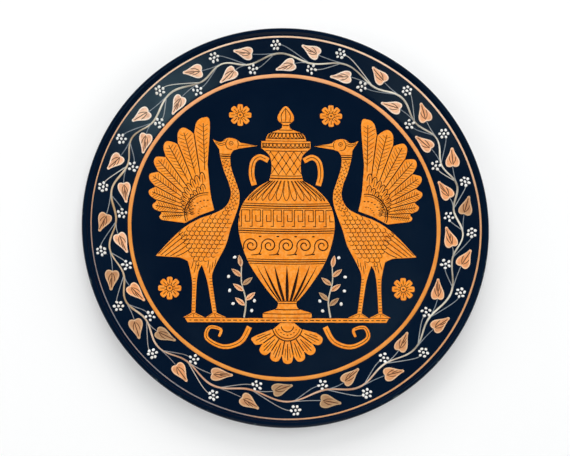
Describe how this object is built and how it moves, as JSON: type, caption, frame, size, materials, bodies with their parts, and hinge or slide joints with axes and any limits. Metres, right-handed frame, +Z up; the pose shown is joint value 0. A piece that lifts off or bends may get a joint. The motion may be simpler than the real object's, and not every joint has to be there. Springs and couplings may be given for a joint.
{
  "type": "wall plate",
  "caption": "Round footed plate of dark glazed clay with a sloping border, rolled lip, painted ivy wreath and a picture of cranes beside a lidded jar.",
  "frame": {"origin": "on the surface that the foot stands on, under the middle of the plate", "axes": "+Z up out of the well, +Y towards the top of the picture, +X to the right of the picture"},
  "size_m": [0.24, 0.24, 0.017],
  "materials": {
    "dark_glaze": "glossy blue-black glaze",
    "bare_clay": "unglazed fired clay, matt",
    "orange_slip": "painted slip, satin",
    "cream_slip": "painted slip, satin",
    "copper_slip": "painted slip with a faint metallic sheen"
  },
  "bodies": {
    "root": {"plate_body": "dark_glaze", "foot_ring": "bare_clay", "outer_stripe": "orange_slip", "tondo_ring": "orange_slip", "ground_line": "orange_slip", "jar": "orange_slip", "jar_lid": "orange_slip", "palmette": "orange_slip", "ivy_vine": "cream_slip", "ivy_leaf_outer_01": "copper_slip", "ivy_leaf_outer_02": "copper_slip", "ivy_leaf_outer_03": "copper_slip", "ivy_leaf_outer_04": "copper_slip", "ivy_leaf_outer_05": "copper_slip", "ivy_leaf_outer_06": "copper_slip", "ivy_leaf_outer_07": "copper_slip", "ivy_leaf_outer_08": "copper_slip", "ivy_leaf_outer_09": "copper_slip", "ivy_leaf_outer_10": "copper_slip", "ivy_leaf_outer_11": "copper_slip", "ivy_leaf_outer_12": "copper_slip", "ivy_leaf_outer_13": "copper_slip", "ivy_leaf_outer_14": "copper_slip", "ivy_leaf_outer_15": "copper_slip", "ivy_leaf_outer_16": "copper_slip", "ivy_leaf_outer_17": "copper_slip", "ivy_leaf_outer_18": "copper_slip", "ivy_leaf_inner_01": "copper_slip", "ivy_leaf_inner_02": "copper_slip", "ivy_leaf_inner_03": "copper_slip", "ivy_leaf_inner_04": "copper_slip", "ivy_leaf_inner_05": "copper_slip", "ivy_leaf_inner_06": "copper_slip", "ivy_leaf_inner_07": "copper_slip", "ivy_leaf_inner_08": "copper_slip", "ivy_leaf_inner_09": "copper_slip", "ivy_leaf_inner_10": "copper_slip", "ivy_leaf_inner_11": "copper_slip", "ivy_leaf_inner_12": "copper_slip", "ivy_leaf_inner_13": "copper_slip", "ivy_leaf_inner_14": "copper_slip", "ivy_leaf_inner_15": "copper_slip", "ivy_leaf_inner_16": "copper_slip", "ivy_leaf_inner_17": "copper_slip", "ivy_leaf_inner_18": "copper_slip", "jar_handle_left": "orange_slip", "crane_left": "orange_slip", "crane_wing_left": "orange_slip", "rosette_upper_left": "orange_slip", "rosette_lower_left": "orange_slip", "scroll_left": "orange_slip", "sprig_left": "cream_slip", "jar_handle_right": "orange_slip", "crane_right": "orange_slip", "crane_wing_right": "orange_slip", "rosette_upper_right": "orange_slip", "rosette_lower_right": "orange_slip", "scroll_right": "orange_slip", "sprig_right": "cream_slip"}
  },
  "joints": []
}
